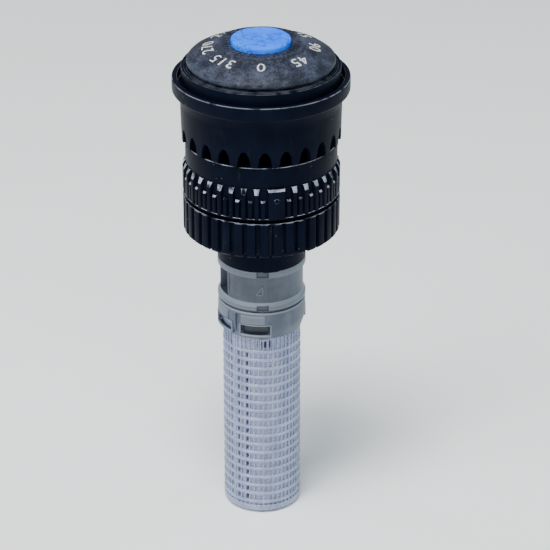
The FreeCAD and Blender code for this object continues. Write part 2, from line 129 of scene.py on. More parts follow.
class Finish(Builder):                         # one material, with its surface patterns
    def __init__(self, name):
        self.material = bpy.data.materials.new(name)
        self.material.use_nodes = True
        super().__init__(self.material.node_tree)
        self.tree.nodes.clear()
        self.place = self.add("ShaderNodeTexCoord", {}, {}).out("Object")

    def noise(self, grain, detail=4.0, stretch=None, rough=0.55):      # grain is in millimetres
        spot = self.place
        if stretch:
            spot = self.add("ShaderNodeMapping", {}, {"Vector": spot, "Scale": stretch})
        return self.add("ShaderNodeTexNoise", {}, {"Vector": spot, "Scale": 1 / (grain * mm),
                                                   "Detail": detail, "Roughness": rough}).out("Fac")

    def specks(self, gap, small, large, share):        # scattered dots, kept on part of the surface
        cells = self.add("ShaderNodeTexVoronoi", {}, {"Vector": self.place, "Scale": 1 / (gap * mm)})
        return (1 - self.band(cells.out("Distance"), small, large)) * share

    def worn(self):                            # how pale each face is painted, from its mesh: partly wear, partly painted highlight
        return self.add("ShaderNodeAttribute", {"attribute_name": "wearAndHighlight"}, {}).out("Fac")

    def band(self, value, low, high):          # 0 below low, 1 above high
        return self.add("ShaderNodeMapRange", {"interpolation_type": "SMOOTHSTEP"},
                        {"Value": value, "From Min": low, "From Max": high})

    def blend(self, share, first, second):
        return self.add("ShaderNodeMix", {"data_type": "RGBA"}, {0: share, 6: first, 7: second})

    def bump(self, height, depth, strength=1.0):
        return self.add("ShaderNodeBump", {}, {"Height": height, "Distance": depth * mm,
                                               "Strength": strength}).out("Normal")

    def done(self, feeds):
        shader = self.add("ShaderNodeBsdfPrincipled", {}, feeds)
        self.add("ShaderNodeOutputMaterial", {}, {"Surface": shader})
        return self.material


# materials: tones run from the base tone to the pale one, grains and depths are in millimetres

# the edge tone is the pale painted on upper edges and chamfers: partly wear, partly painted highlight
blackLook = {"tone": (0.0018, 0.0030, 0.0085, 1), "pale": (0.0028, 0.0044, 0.0115, 1),
             "dust": (0.20, 0.22, 0.26, 1), "edge": (0.30, 0.33, 0.39, 1), "tint": (0.55, 0.72, 1.0, 1),
             "sheen": 0.035, "driftGrain": 3.2, "speckGap": 1.3, "scuffGrain": 0.9, "edgeGrain": 1.6,
             "depth": 0.012}


def blackPlastic(name, gloss, dust, grain, rubbedAndLit):
    m = Finish(name)
    look = blackLook
    drift = m.noise(look["driftGrain"], 3)
    fine = m.noise(grain, 6, rough=0.7)
    specks = m.specks(look["speckGap"], 0.020, 0.075, m.noise(4.0, 2).above(0.60 - dust))
    scuffs = m.band(m.noise(look["scuffGrain"], 5, (1, 1, 0.12)), 0.62, 0.78)
    marks = (specks + scuffs * (0.6 * dust)).kept()
    # upper edges and chamfers painted pale, broken by noise: partly wear, partly painted highlight
    edge = (m.worn() * rubbedAndLit * m.band(m.noise(look["edgeGrain"], 4), 0.34, 0.58)).kept()
    base = m.blend(m.band(drift, 0.35, 0.7), look["tone"], look["pale"])
    dusty = m.blend(marks * 0.6, base, look["dust"])
    return m.done({"Base Color": m.blend(edge, dusty, look["edge"]),
                   "Roughness": (gloss + 0.16 * (fine - 0.5) + 0.10 * drift + 0.15 * marks).kept(),
                   "Specular IOR Level": look["sheen"], "Specular Tint": look["tint"],
                   "Normal": m.bump(fine + 0.25 * m.noise(0.9, 2), look["depth"], 0.6)})


rubberLook = {"tone": (0.0075, 0.0100, 0.0185, 1), "pale": (0.050, 0.061, 0.097, 1), "gloss": 0.44,
              "sheen": 0.22, "streakGrain": 1.1, "pitGrain": 0.33, "patchGrain": 2.6, "depth": 0.075}


def softRubber(name):
    m = Finish(name)
    look = rubberLook
    streak = m.noise(look["streakGrain"], 6, (1.0, 0.45, 2.5), 0.7)
    pits = m.noise(look["pitGrain"], 5, rough=0.75)
    patch = m.noise(look["patchGrain"], 4)
    mottled = m.band(pits * 0.45 + patch * 0.35 + streak * 0.20, 0.44, 0.62)
    return m.done({"Base Color": m.blend(mottled, look["tone"], look["pale"]),
                   "Roughness": (look["gloss"] + 0.25 * (pits - 0.5) + 0.12 * mottled).kept(),
                   "Specular IOR Level": look["sheen"],
                   "Normal": m.bump(streak * 0.9 + pits * 0.8, look["depth"])})


greyLook = {"tone": (0.046, 0.062, 0.087), "pale": (0.072, 0.095, 0.132), "edge": (0.25, 0.29, 0.35, 1),
            "speck": 0.55, "gloss": 0.40, "sheen": 0.4, "cloudGrain": 2.4, "flowGrain": 1.2, "speckGap": 2.1,
            "depth": 0.010}


def greyPlastic(name, paleness):
    m = Finish(name)
    look = greyLook
    cloud = m.noise(look["cloudGrain"], 4)
    fine = m.noise(0.16, 5, rough=0.7)
    flow = m.noise(look["flowGrain"], 3, (1, 1, 0.15))
    shade = m.blend(m.band(cloud * 0.6 + flow * 0.4, 0.35, 0.68),
                    scaled(look["tone"], paleness), scaled(look["pale"], paleness))
    specks = m.specks(look["speckGap"], 0.03, 0.07, m.noise(3.0, 2).above(0.56))
    speckled = m.blend(specks * 0.6, shade, grey(look["speck"]))
    # upper edges, chamfers and proud rings painted with the edge tone: painted highlight, partly wear
    return m.done({"Base Color": m.blend(m.worn() * 0.75, speckled, look["edge"]),
                   "Roughness": (look["gloss"] + 0.18 * (fine - 0.5) + 0.08 * cloud).kept(),
                   "Specular IOR Level": look["sheen"],
                   "Normal": m.bump(fine + 0.4 * flow, look["depth"], 0.6)})


screenLook = {"tone": (0.33, 0.39, 0.58, 1), "pale": (0.45, 0.51, 0.72, 1), "gloss": 0.26, "clear": 0.38,
              "index": 1.45, "cloudGrain": 2.0, "fineGrain": 0.22, "depth": 0.02}


def screenPlastic(name):
    m = Finish(name)
    look = screenLook
    cloud = m.noise(look["cloudGrain"], 4)
    fine = m.noise(look["fineGrain"], 5)
    return m.done({"Base Color": m.blend(m.band(cloud, 0.3, 0.7), look["tone"], look["pale"]),
                   "Roughness": (look["gloss"] + 0.25 * (fine - 0.4)).kept(), "IOR": look["index"],
                   "Transmission Weight": look["clear"],
                   "Normal": m.bump(fine * 0.3 + cloud, look["depth"], 0.5)})


capLook = {"tone": (0.002, 0.125, 0.98, 1), "pale": (0.010, 0.190, 1.0, 1), "crease": (0.006, 0.070, 0.42, 1),
           "gloss": 0.36, "sheen": 0.06, "wrinkleGrain": 1.5, "creaseWidth": 0.035, "depth": 0.14}


def capPlastic(name):
    m = Finish(name)
    look = capLook
    wrinkle = m.noise(look["wrinkleGrain"], 5, (1, 1.6, 1), 0.65)
    fold = m.add("ShaderNodeMath", {"operation": "ABSOLUTE"}, {0: wrinkle - 0.5})
    # crease: a darker blue along the folds, painted shade in the creases
    crease = (1 - m.band(fold, 0.0, look["creaseWidth"])) * m.noise(2.2, 2).above(0.47)
    cloud = m.noise(2.4, 3)
    base = m.blend(m.band(cloud, 0.3, 0.7), look["tone"], look["pale"])
    return m.done({"Base Color": m.blend(crease * 0.6, base, look["crease"]),
                   "Roughness": (look["gloss"] + 0.20 * cloud + 0.15 * crease).kept(),
                   "Specular IOR Level": look["sheen"],
                   "Normal": m.bump(wrinkle - crease * 0.4, look["depth"], 0.9)})


inkLook = {"faded": (0.30, 0.31, 0.32, 1), "tone": (0.60, 0.60, 0.58, 1), "gloss": 0.55, "grain": 0.30}


def printInk(name):
    m = Finish(name)
    cover = m.band(m.noise(inkLook["grain"], 5), 0.28, 0.62)
    return m.done({"Base Color": m.blend(cover, inkLook["faded"], inkLook["tone"]),
                   "Roughness": (inkLook["gloss"] + 0.2 * cover).kept(), "Normal": m.bump(cover, 0.02, 0.4)})


def metal(name, colour, gloss):
    m = Finish(name)
    turnedMarks = m.noise(0.35, 4, (0.4, 0.4, 4.0))
    return m.done({"Base Color": m.blend(m.noise(1.5, 3), colour, scaled(colour, 0.8)), "Metallic": 1.0,
                   "Roughness": (gloss + 0.2 * (turnedMarks - 0.5)).kept(),
                   "Normal": m.bump(turnedMarks, 0.006, 0.5)})


def plainPlastic(name, colour, gloss):
    m = Finish(name)
    fine = m.noise(0.2, 4)
    return m.done({"Base Color": m.blend(m.noise(2.0, 4), colour, scaled(colour, 0.82)),
                   "Roughness": (gloss + 0.15 * (fine - 0.5)).kept(), "Normal": m.bump(fine, 0.01, 0.5)})


# rubbedAndLit sets how strongly upper edges are painted pale: partly wear, partly painted highlight
looks = {"black_cup": blackPlastic("smoothBlack", gloss=0.36, dust=0.05, grain=0.30, rubbedAndLit=0.45),
         "black_knurl": blackPlastic("knurlBlack", gloss=0.36, dust=0.17, grain=0.22, rubbedAndLit=1.0),
         "black_body": blackPlastic("bodyBlack", gloss=0.38, dust=0.06, grain=0.25, rubbedAndLit=0.18),
         "soft_dome": softRubber("mottledRubber"),
         "grey_collar": greyPlastic("collarGrey", 1.12),
         # the neck grey is a darker copy of the collar grey: painted shade
         "grey_neck": greyPlastic("neckGrey", 0.82),
         # a much darker copy of the grey for the blocks behind the windows: painted shade
         "shade": greyPlastic("catchGrey", 0.38),
         "clear_screen": screenPlastic("frostedClear"),
         "blue_cap": capPlastic("capBlue"),
         "ink": printInk("paleInk"),
         "steel": metal("stainless", (0.62, 0.62, 0.64, 1), 0.28),
         "brass": metal("turnedBrass", (0.72, 0.53, 0.24, 1), 0.30),
         "acetal": plainPlastic("naturalAcetal", (0.66, 0.65, 0.60, 1), 0.42),
         "black_rubber": plainPlastic("sealRubber", (0.018, 0.018, 0.019, 1), 0.60)}
print("materials ready:", len(looks))


# mesh tools

meshing = {"filletSteps": 4, "filletShare": 0.48, "merge": 1e-8, "pieceMerge": 1e-7, "bevelAngle": 0.35}
# face leans painted pale at upper edges and chamfers (partly wear, partly painted highlight), and the
# paleness of proud rings (painted highlight)
wearAndHighlightRule = {"edgeLean": (0.20, 0.36), "flatLean": (0.93, 0.985), "proudHighlight": 0.38}


def polar(radius, degrees, height):
    a = math.radians(degrees)
    return Vector((radius * math.sin(a) * mm, -radius * math.cos(a) * mm, height * mm))


def rounded(points):                           # corners given as (r, z, fillet) are rounded
    steps = meshing["filletSteps"]
    share = meshing["filletShare"]
    outline = []
    for i, point in enumerate(points):
        here = Vector(point[:2])
        if len(point) < 3:
            outline.append(here)
            continue
        before = Vector(points[i - 1][:2]) - here
        after = Vector(points[(i + 1) % len(points)][:2]) - here
        a = here + before.normalized() * min(point[2], before.length * share)
        b = here + after.normalized() * min(point[2], after.length * share)
        for k in range(steps + 1):
            t = k / steps
            outline.append(a.lerp(here, t).lerp(here.lerp(b, t), t))
    return outline


def toMesh(bm, name):
    mesh = bpy.data.meshes.new(name)
    bm.to_mesh(mesh)
    bm.free()
    return mesh


def joined(*meshes):
    bm = bmesh.new()
    for mesh in meshes:
        bm.from_mesh(mesh)
    return bm


def eased(value, low, high):
    t = max(0.0, min(1.0, (value - low) / (high - low)))
    return t * t * (3 - 2 * t)


def ripple(waves, degrees):                    # a small unevenness round a moulding: (size, waves, turn)
    a = math.radians(degrees)
    return sum(size * math.sin(count * a + turn) for size, count, turn in waves)


def finishMesh(bm, name, slot, body, *nodes, sharp=38, look=None, proud=None):
    bmesh.ops.remove_doubles(bm, verts=bm.verts, dist=meshing["pieceMerge"])
    bmesh.ops.recalc_face_normals(bm, faces=bm.faces)
    wearAndHighlight = bm.faces.layers.float.new("wearAndHighlight")
    for face in bm.faces:                      # upper edges and chamfers are painted pale, partly wear and partly painted highlight; flat tops and walls are not
        lean = face.normal.z
        face[wearAndHighlight] = eased(lean, *wearAndHighlightRule["edgeLean"]) * (1 - eased(lean, *wearAndHighlightRule["flatLean"]))
        spot = face.calc_center_median()
        if proud and math.hypot(spot.x, spot.y) > proud * mm:      # rings and frames that stand out are painted pale too, a painted highlight
            face[wearAndHighlight] = max(face[wearAndHighlight], wearAndHighlightRule["proudHighlight"])
    placed(toMesh(bm, name), name, slot, body, *nodes, sharp=sharp, look=look)


def placed(mesh, name, slot, body, *nodes, sharp=38, look=None):      # a finished piece, riding on its body
    mesh.shade_smooth()
    mesh.set_sharp_from_angle(angle=math.radians(sharp))
    mesh.materials.clear()
    mesh.materials.append(looks[look or slot])
    piece = bpy.data.objects.new(name, mesh)
    bpy.context.scene.collection.objects.link(piece)
    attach(piece, body)
    if nodes:
        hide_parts(*nodes)
    print("  piece", name, len(mesh.polygons), "faces")


def lathe(points, segments, warp=None):        # a closed outline turned about the axis
    outline = rounded(points)
    bm = bmesh.new()
    rings = []
    for s in range(segments):
        degrees = 360 * s / segments
        ring = []
        for p in outline:
            r, z = warp(p.x, degrees, p.y) if warp else (p.x, p.y)
            ring.append(bm.verts.new(polar(max(r, 0), degrees, z)))
        rings.append(ring)
    count = len(outline)
    for s in range(segments):
        here = rings[s]
        there = rings[(s + 1) % segments]
        for k in range(count):
            n = (k + 1) % count
            if outline[k].x < 1e-6 and outline[n].x < 1e-6:        # on the axis, where there is no face
                continue
            bm.faces.new((here[k], there[k], there[n], here[n]))
    bmesh.ops.remove_doubles(bm, verts=bm.verts, dist=meshing["merge"])
    bmesh.ops.recalc_face_normals(bm, faces=bm.faces)
    return bm


def turned(name, points, segments, warp=None):
    return toMesh(lathe(points, segments, warp), name)


# a block on the round between two spans of angle, one at its root and one at its tip
# levels are (z, inner radius, outer radius), from the foot up

def wedge(name, root, tip, levels, steps=1, edge=0.0):
    bm = bmesh.new()
    least = levels[0][1]
    most = max(level[2] for level in levels)
    rows = []
    for z, inner, outer in levels:
        draft = (outer - least) / (most - least)
        near = []
        far = []
        for i in range(steps + 1):
            t = i / steps
            atRoot = root[0] + (root[1] - root[0]) * t
            atTip = tip[0] + (tip[1] - tip[0]) * t
            near.append(bm.verts.new(polar(inner, atRoot, z)))
            far.append(bm.verts.new(polar(outer, atRoot + (atTip - atRoot) * draft, z)))
        rows.append(near + far[::-1])
    for low, high in zip(rows, rows[1:]):
        for k in range(len(low)):
            n = (k + 1) % len(low)
            bm.faces.new((low[k], low[n], high[n], high[k]))
    for row in (rows[0], rows[-1]):
        for i in range(steps):
            bm.faces.new((row[i], row[i + 1], row[-2 - i], row[-1 - i]))
    bmesh.ops.recalc_face_normals(bm, faces=bm.faces)
    if edge:
        sharp = [e for e in bm.edges if e.calc_face_angle(0) > meshing["bevelAngle"]]
        bmesh.ops.bevel(bm, geom=sharp, offset=edge * mm, segments=2, profile=0.6, affect="EDGES")
    return toMesh(bm, name)


def block(name, wide, heights, radii, steps=1, edge=0.0):      # a plain one, with upright walls
    return wedge(name, wide, wide, [(z, *radii) for z in heights], steps, edge)


def openTree(name, inputs):                    # a geometry tree and its named inputs
    tree = bpy.data.node_groups.new(name, "GeometryNodeTree")
    tree.interface.new_socket("Geometry", in_out="INPUT", socket_type="NodeSocketGeometry")
    for kind, names in inputs.items():
        for each in names:
            tree.interface.new_socket(each, in_out="INPUT", socket_type="NodeSocket" + kind)
    tree.interface.new_socket("Geometry", in_out="OUTPUT", socket_type="NodeSocketGeometry")
    b = Builder(tree)
    return b, b.add("NodeGroupInput", {}, {})


def closeTree(b, given, geometry):             # made real and given its material
    real = b.add("GeometryNodeRealizeInstances", {}, {"Geometry": geometry})
    dressed = b.add("GeometryNodeSetMaterial", {}, {"Geometry": real, "Material": given.out("Material")})
    b.add("NodeGroupOutput", {}, {"Geometry": dressed})
    return b.tree


def upward(b, height):
    return b.add("ShaderNodeCombineXYZ", {}, {"Z": height})


def ringTree():                                # repeats a feature round the axis
    b, given = openTree("ringOfFeatures", {"Int": ["Count", "Seed"], "Float": ["Phase", "Wander"],
                                           "Material": ["Material"]})
    index = b.add("GeometryNodeInputIndex", {}, {})
    points = b.add("GeometryNodePoints", {}, {"Count": given.out("Count")})
    wander = b.add("FunctionNodeRandomValue", {"data_type": "FLOAT"},
                   {"Seed": given.out("Seed"), 2: given.out("Wander") * -1.0, 3: given.out("Wander")})
    turn = index * (2 * math.pi) / given.out("Count") + given.out("Phase") + wander
    copies = b.add("GeometryNodeInstanceOnPoints", {},
                   {"Points": points, "Instance": given.out("Geometry"), "Rotation": upward(b, turn)})
    return closeTree(b, given, copies)


def hoopTree():                                # hoops up a basket, each swept from a small section
    b, given = openTree("basketHoops", {"Int": ["Count", "Resolution"],
                                        "Float": ["Pitch", "Radius", "Thickness", "Height", "Foot", "Fillet"],
                                        "Material": ["Material"]})
    line = b.add("GeometryNodeMeshLine", {"mode": "OFFSET"},
                 {"Count": given.out("Count"), "Start Location": upward(b, given.out("Foot")),
                  "Offset": upward(b, given.out("Pitch"))})
    circle = b.add("GeometryNodeCurvePrimitiveCircle", {"mode": "RADIUS"},
                   {"Resolution": given.out("Resolution"), "Radius": given.out("Radius")})
    section = b.add("GeometryNodeCurvePrimitiveQuadrilateral", {"mode": "RECTANGLE"},
                    {"Width": given.out("Thickness"), "Height": given.out("Height")})
    softer = b.add("GeometryNodeFilletCurve", {}, {"Curve": section, "Radius": given.out("Fillet")})
    hoop = b.add("GeometryNodeCurveToMesh", {}, {"Curve": circle, "Profile Curve": softer})
    return closeTree(b, given, b.add("GeometryNodeInstanceOnPoints", {}, {"Points": line, "Instance": hoop}))


def threadTree():                              # a ridge wound inside a tube
    b, given = openTree("woundRidge", {"Int": ["Sides", "Steps"], "Material": ["Material"],
                                       "Float": ["Turns", "Radius", "Height", "Foot", "Depth"]})
    coil = b.add("GeometryNodeCurveSpiral", {},
                 {"Resolution": given.out("Steps"), "Rotations": given.out("Turns"),
                  "Start Radius": given.out("Radius"), "End Radius": given.out("Radius"),
                  "Height": given.out("Height")})
    section = b.add("GeometryNodeCurvePrimitiveCircle", {"mode": "RADIUS"},
                    {"Resolution": given.out("Sides"), "Radius": given.out("Depth")})
    ridge = b.add("GeometryNodeCurveToMesh", {}, {"Curve": coil, "Profile Curve": section, "Fill Caps": True})
    seated = b.add("GeometryNodeSetPosition", {}, {"Geometry": ridge, "Offset": upward(b, given.out("Foot"))})
    return closeTree(b, given, seated)


trees = {"ring": ringTree(), "hoops": hoopTree(), "thread": threadTree()}


def plainResult(host):                         # the evaluated object as a mesh, and the host is gone
    bpy.context.view_layer.update()
    result = bpy.data.meshes.new_from_object(host.evaluated_get(bpy.context.evaluated_depsgraph_get()))
    bpy.data.objects.remove(host)
    return result


def linked(name, data):
    holder = bpy.data.objects.new(name, data)
    bpy.context.scene.collection.objects.link(holder)
    return holder


def grown(kind, values, feature=None):         # runs a tree on a mesh and keeps the plain result
    host = linked("growing", feature or bpy.data.meshes.new("empty"))
    modifier = host.modifiers.new("grow", "NODES")
    modifier.node_group = trees[kind]
    for item in trees[kind].interface.items_tree:
        if item.in_out == "INPUT" and item.name in values:
            modifier[item.identifier] = values[item.name]
    return plainResult(host)


def around(mesh, count, slot, phase=0.0, wander=0.0):
    return grown("ring", {"Count": count, "Phase": math.radians(phase), "Seed": 7,
                          "Wander": math.radians(wander), "Material": looks[slot]}, mesh)


def cutAway(base, *cutters):
    tool = linked("tool", toMesh(joined(*cutters), "tools"))
    host = linked("base", base)
    modifier = host.modifiers.new("cut", "BOOLEAN")
    modifier.operation = "DIFFERENCE"
    modifier.object = tool
    modifier.solver = "EXACT"
    modifier.use_self = True
    result = plainResult(host)
    bpy.data.objects.remove(tool)
    return result


def heightSpan(node):                          # lowest and highest z, in mm
    low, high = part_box(node)
    return low.z / mm, high.z / mm


def halfWidth(node):
    low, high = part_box(node)
    return max(high.x, high.y) / mm


# dome and cap

dome = {"skirtRadius": 10.72, "slopeStart": 0.7, "segments": 240,
        # up from the rim: how far inside the skirt, how high, fillet
        "slope": ((0.55, 0.02, 0.2), (0.05, 0.32, 0.3), (0, 0.75, 0.3), (0.10, 1.15, 0.4), (0.75, 1.55, 0.5),
                  (1.9, 2.15, 0.8), (3.25, 2.62, 0.8)),
        # the raised ring round the cap: how far outside its radius, how far below the top, fillet
        "crownRing": 6.15, "crown": ((0.30, 0.50, 0.06), (0.16, 0.05, 0.08), (-0.25, 0, 0.12)),
        "wellDepth": 0.75, "wellPlay": 0.05, "stemHole": 1.55, "seatPlay": 0.02,
        "waves": ((0.028, 5, 1.3), (0.018, 11, 0.4)), "wavesOver": 4,
        "tickCount": 40, "tickHalf": 1.3, "tickSpan": (0.5, 1.45), "tickRise": (-0.3, 0.07)}
domeFoot, domeTop = heightSpan("dome_cover")
capFoot, capTop = heightSpan("id_cap")
capWide = halfWidth("id_cap")


def domeOutline():
    d = dome
    skirt = [(d["skirtRadius"] - inset, domeFoot + rise, fillet) for inset, rise, fillet in d["slope"]]
    crown = [(d["crownRing"] + out, domeTop - drop, fillet) for out, drop, fillet in d["crown"]]
    wall = capWide + d["wellPlay"]
    floor = domeTop - d["wellDepth"]
    foot = capFoot - d["seatPlay"]
    return [(0, domeFoot + d["seatPlay"])] + skirt + crown + [
        (capWide + 0.55, domeTop - 0.06, 0.3), (wall, domeTop - 0.12, 0.06), (wall, floor),
        (d["stemHole"], floor), (d["stemHole"], foot), (0, foot)]


domeProfile = [p for p in rounded(domeOutline()) if p.y > domeFoot + dome["slopeStart"]]


def domeHeight(r):                             # top surface of the dome at a radius
    for a, b in zip(domeProfile, domeProfile[1:]):
        if b.x <= r <= a.x and a.x > b.x:
            return a.y + (b.y - a.y) * (a.x - r) / (a.x - b.x)
    return domeTop


def makeDome():
    d = dome

    def lumps(r, degrees, z):
        wave = ripple(d["waves"], degrees)
        share = max(0.0, min(1.0, (r - capWide - 0.5) / d["wavesOver"]))
        return r + wave * share * 0.6, z + wave * share
    shell = turned("dome", domeOutline(), d["segments"], lumps)
    tick = block("tick", (-d["tickHalf"], d["tickHalf"]), [domeTop + rise for rise in d["tickRise"]],
                 [capWide + out for out in d["tickSpan"]], 1, 0.03)
    whole = joined(shell, around(tick, d["tickCount"], "soft_dome"))
    finishMesh(whole, "domeShell", "soft_dome", "deflector_head", "dome_cover")


dial = {"step": 45, "inner": 6.9, "middle": 1.0, "size": 2.35, "wide": 1.15, "spacing": 1.15, "depth": 0.04,
        "stand": 0.045, "sink": 0.02, "curveSteps": 5, "merge": 1e-4, "longEdge": 0.5}


def makeDial():                                # a plain degree scale round the dome, evenly spaced
    d = dial
    bm = bmesh.new()
    for degrees in range(0, 360, d["step"]):
        curve = bpy.data.curves.new("numeral", "FONT")
        curve.body = str(degrees)
        curve.size = d["size"]
        curve.align_x = "CENTER"
        curve.space_character = d["spacing"]
        curve.extrude = d["depth"]
        curve.resolution_u = d["curveSteps"]
        flat = plainResult(linked("numeral", curve))
        part = bmesh.new()
        part.from_mesh(flat)
        bmesh.ops.remove_doubles(part, verts=part.verts, dist=d["merge"])
        longEdges = [e for e in part.edges if e.calc_length() > d["longEdge"]]
        bmesh.ops.subdivide_edges(part, edges=longEdges, cuts=2)
        bmesh.ops.triangulate(part, faces=part.faces)
        for v in part.verts:                   # laid on the dome, which it follows
            r = d["inner"] + v.co.y
            turn = degrees - math.degrees(d["wide"] * v.co.x / (d["inner"] + d["middle"]))
            v.co = polar(r, turn, domeHeight(r) + (d["stand"] if v.co.z > 0 else -d["sink"]))
        bm.from_mesh(toMesh(part, "numeral"))
    finishMesh(bm, "domeNumerals", "soft_dome", "deflector_head", look="ink")


cap = {"stem": 1.5, "stemHigh": 0.9, "segments": 160, "dishRadius": 2.6, "shoulderIn": 0.9,
       "dents": ((0.020, 2, 0.7), (0.014, 5, 0)), "edgeWaves": ((0.025, 3, 0),)}


def makeCap():
    c = cap

    def dents(r, degrees, z):
        dip = ripple(c["dents"], degrees) if z > capTop - 0.1 and r > 1 else 0
        swell = ripple(c["edgeWaves"], degrees) if r > capWide - 0.3 else 0
        return r + swell, z + dip
    outline = [(0, capFoot), (c["stem"], capFoot), (c["stem"], capFoot + c["stemHigh"]),
               (capWide - 0.02, capFoot + c["stemHigh"]), (capWide, capTop - 0.03, 0.45),
               (capWide - c["shoulderIn"], capTop - 0.01, 0.3), (c["dishRadius"], capTop - 0.07, 0.5),
               (0, capTop - 0.09)]
    disk = lathe(outline, c["segments"], dents)
    finishMesh(disk, "blueCap", "blue_cap", "deflector_head", "id_cap", sharp=50)


makeDome()
makeDial()
makeCap()
print("dome and cap ready")


# deflector

deflectorSizes = {"bore": 1.30, "hub": 3.2, "skirt": 10.05, "cavity": 7.4, "cavityDepth": 3.8,
                  "rimHigh": 2.75, "ridges": (10.25, 10.65, 11.02), "ridgeStand": 0.07, "ridgeFoot": 0.10,
                  "ridgeTip": 0.05,
                  "coneSteps": 14, "coneRise": 2.5, "coneCurve": 1.35, "coneClear": 3.0,
                  "flutes": 24, "fluteDepth": 0.465, "fluteTwist": 26, "fluteStart": 0.2, "fluteSteps": 16}
deflectorFoot, rimTop = heightSpan("deflector")
rimWide = halfWidth("deflector")


def makeDeflector():
    d = deflectorSizes
    rimFoot = rimTop - d["rimHigh"]
    face = rimTop - 0.04                       # the rim's top face, which the ridges stand on
    ridgeTop = face + d["ridgeStand"]
    outline = [(d["bore"], deflectorFoot), (d["hub"] - 0.4, deflectorFoot, 0.2)]
    for k in range(d["coneSteps"] + 1):        # the fluted cone
        t = k / d["coneSteps"]
        outline.append((d["hub"] + (d["skirt"] - d["hub"]) * t,
                        deflectorFoot + 0.1 + d["coneRise"] * t ** d["coneCurve"]))
    outline += [(d["skirt"], rimFoot - 0.05), (rimWide - 0.12, rimFoot, 0.1), (rimWide, rimFoot + 0.15, 0.1),
                (rimWide, rimTop - 0.03, 0.14), (rimWide - 0.16, rimTop, 0.08)]
    for ridge in reversed(d["ridges"]):
        outline += [(ridge + d["ridgeFoot"], face), (ridge + d["ridgeTip"], ridgeTop),
                    (ridge - d["ridgeTip"], ridgeTop), (ridge - d["ridgeFoot"], face)]
    outline += [(d["skirt"], rimTop - 0.05), (d["cavity"], rimTop - 0.02),
                (d["cavity"], rimTop - d["cavityDepth"]), (d["bore"], rimTop - d["cavityDepth"])]

    def flutes(r, degrees, z):
        coned = z < rimTop - d["coneClear"] and z < deflectorFoot + d["coneRise"] + 0.2
        if not coned or not d["hub"] + d["fluteStart"] < r <= d["skirt"] + 0.01:
            return r, z
        t = (r - d["hub"]) / (d["skirt"] - d["hub"])
        wave = math.cos(math.radians(d["flutes"] * (degrees + d["fluteTwist"] * t * t)))
        return r, z + d["fluteDepth"] * min(1, 2.2 * t) * max(0.0, wave) ** 0.7
    disk = lathe(outline, d["flutes"] * d["fluteSteps"], flutes)
    finishMesh(disk, "deflectorDisk", "black_body", "deflector_head", "deflector")


makeDeflector()
print("deflector ready")


# cup

cupSizes = {"arches": 24, "archPhase": 2.6, "archHeight": 2.34, "archFoot": 1.02, "archNeck": 0.62,
            "archShoulder": 0.62, "archSteps": 8, "wall": 0.9, "footRadius": 11.56, "topRadius": 11.70,
            "cone": 1.5, "flange": 2.2, "mouth": 12.05, "mouthDepth": 1.4,
            "floorRise": 2.4, "floorThick": 1.1, "floorBore": 4.64, "hub": (2.45, 3.89), "hubHigh": 1.5,
            "boss": (6.33, 7.1), "bossRise": 0.2, "bridge": (136, 224), "bridgeRadii": (3.8, 4.7)}
cupFoot, cupTop = heightSpan("cup")
cupWide = halfWidth("cup")


def archCutter():                              # a bell-shaped opening, wider at its foot
    c = cupSizes
    foot = c["archFoot"]
    below = -0.5
    outline = [(-foot, below), (-foot, 0.0)]
    last = c["archSteps"]
    for k in range(last + 1):
        t = k / last
        flare = 1 if 0 < k < last else 1.25
        outline.append((-c["archNeck"] * math.cos(t * math.pi) * flare,
                        c["archHeight"] * (c["archShoulder"] + 0.38 * math.sin(t * math.pi))))
    outline += [(foot, 0.0), (foot, below)]
    bm = bmesh.new()
    inside, outside = [[bm.verts.new((x * mm, -r * mm, (cupFoot + z) * mm)) for x, z in outline]
                       for r in (c["footRadius"] - c["wall"] - 0.6, c["footRadius"] + 0.8)]
    for k in range(len(outline)):
        n = (k + 1) % len(outline)
        bm.faces.new((inside[k], inside[n], outside[n], outside[k]))
    bm.faces.new(inside)
    bm.faces.new(outside[::-1])
    bmesh.ops.recalc_face_normals(bm, faces=bm.faces)
    return toMesh(bm, "arch")


def makeCup():
    c = cupSizes
    bore = c["footRadius"] - c["wall"]
    flangeFoot = cupTop - c["flange"]
    mouthFoot = cupTop - c["mouthDepth"]
    shell = turned("cup", [(bore, cupFoot), (c["footRadius"], cupFoot, 0.08),
                           (c["topRadius"], flangeFoot - c["cone"], 0.4),
                           (cupWide - 0.85, flangeFoot - 0.12, 0.3), (cupWide, flangeFoot + 0.10, 0.35),
                           (cupWide, cupTop - 0.05, 0.24), (cupWide - 0.22, cupTop, 0.12),
                           (c["mouth"], cupTop, 0.08), (c["mouth"], mouthFoot, 0.1),
                           (bore, mouthFoot, 0.1)], 288)
    shell = cutAway(shell, around(archCutter(), c["arches"], "black_cup", c["archPhase"]))
    foot = cupFoot + c["floorRise"]
    top = foot + c["floorThick"]
    floor = turned("floor", [(c["floorBore"], foot), (bore + 0.05, foot), (bore + 0.05, top),
                             (c["floorBore"], top, 0.1)], 96)
    inner, outer = c["hub"]
    hub = turned("hub", [(inner, foot - 0.1), (outer, foot - 0.1), (outer, foot + c["hubHigh"], 0.15),
                         (inner, foot + c["hubHigh"])], 72)
    inner, outer = c["boss"]
    bossFoot = cupFoot + c["bossRise"]
    boss = turned("boss", [(inner, bossFoot), (outer, bossFoot), (outer, foot + 0.05),
                           (inner, foot + 0.05)], 72)
    bridge = block("bridge", c["bridge"], (foot + 0.02, top - 0.02), c["bridgeRadii"], 16)
    whole = joined(shell, floor, hub, boss, bridge)
    finishMesh(whole, "streamCup", "black_cup", "nozzle_body", "cup", sharp=32)


makeCup()
print("cup ready")


# knurled rings

